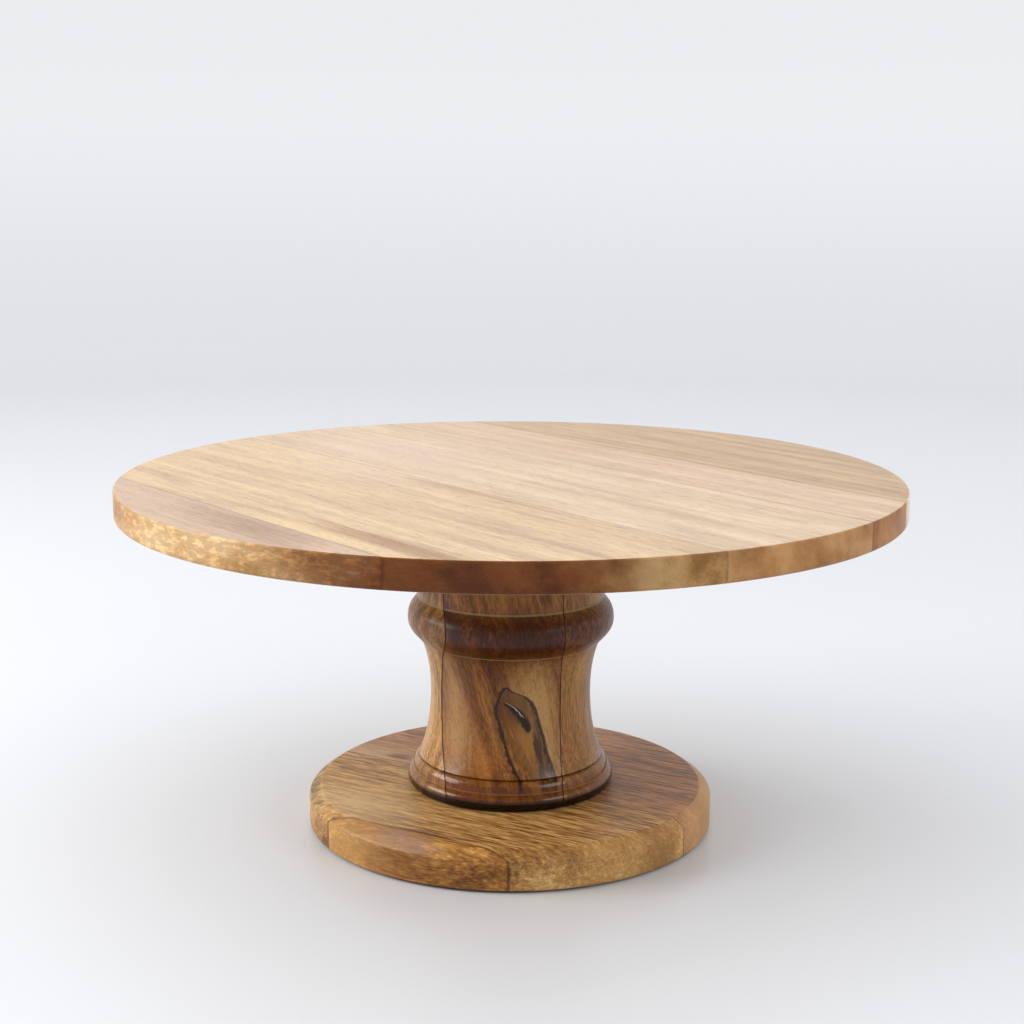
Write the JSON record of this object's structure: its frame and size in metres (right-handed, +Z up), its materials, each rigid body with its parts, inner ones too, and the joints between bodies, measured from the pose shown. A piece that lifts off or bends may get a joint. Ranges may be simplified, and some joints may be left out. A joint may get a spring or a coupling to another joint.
{
  "type": "cake stand",
  "caption": "Footed round wooden cake stand: flat glued-up plate on a turned column with bead, cove and rings, over a round chamfered base.",
  "frame": {"origin": "middle of the footprint, on the surface the stand rests on", "axes": "+Z up out of the plate, -Y towards the side with the column's dark knot figure, +X to the right seen from there"},
  "size_m": [0.305, 0.305, 0.1397],
  "materials": {
    "plate_wood_grey_brown": "satin, light oil",
    "plate_wood_golden_tan": "satin, light oil",
    "plate_wood_pale_tan": "satin, light oil",
    "plate_wood_tan": "satin, light oil",
    "plate_wood_brown_tan": "satin, light oil",
    "base_wood_golden": "satin, light oil",
    "base_wood_brown": "satin, light oil",
    "base_wood_red_brown": "satin, light oil",
    "column_wood_golden": "gloss lacquer",
    "column_wood_orange_brown": "gloss lacquer",
    "column_wood_light_brown": "gloss lacquer",
    "dowel_wood": "unfinished",
    "steel": "zinc plated",
    "brass": "plain",
    "felt": "pressed felt"
  },
  "bodies": {
    "root": {"plate_board_front": "plate_wood_grey_brown", "plate_board_wide": "plate_wood_golden_tan", "plate_board_middle": "plate_wood_pale_tan", "plate_board_narrow": "plate_wood_tan", "plate_board_back": "plate_wood_brown_tan", "base_board_front": "base_wood_golden", "base_board_middle": "base_wood_brown", "base_board_back": "base_wood_red_brown", "column_stave_left": "column_wood_golden", "column_stave_middle": "column_wood_orange_brown", "column_stave_right": "column_wood_light_brown", "upper_dowel_front": "dowel_wood", "upper_dowel_back": "dowel_wood", "lower_dowel_front": "dowel_wood", "lower_dowel_back": "dowel_wood", "center_bolt": "steel", "bolt_washer": "steel", "threaded_insert": "brass", "foot_pad_front_right": "felt", "foot_pad_back_right": "felt", "foot_pad_back_left": "felt", "foot_pad_front_left": "felt"}
  },
  "joints": []
}
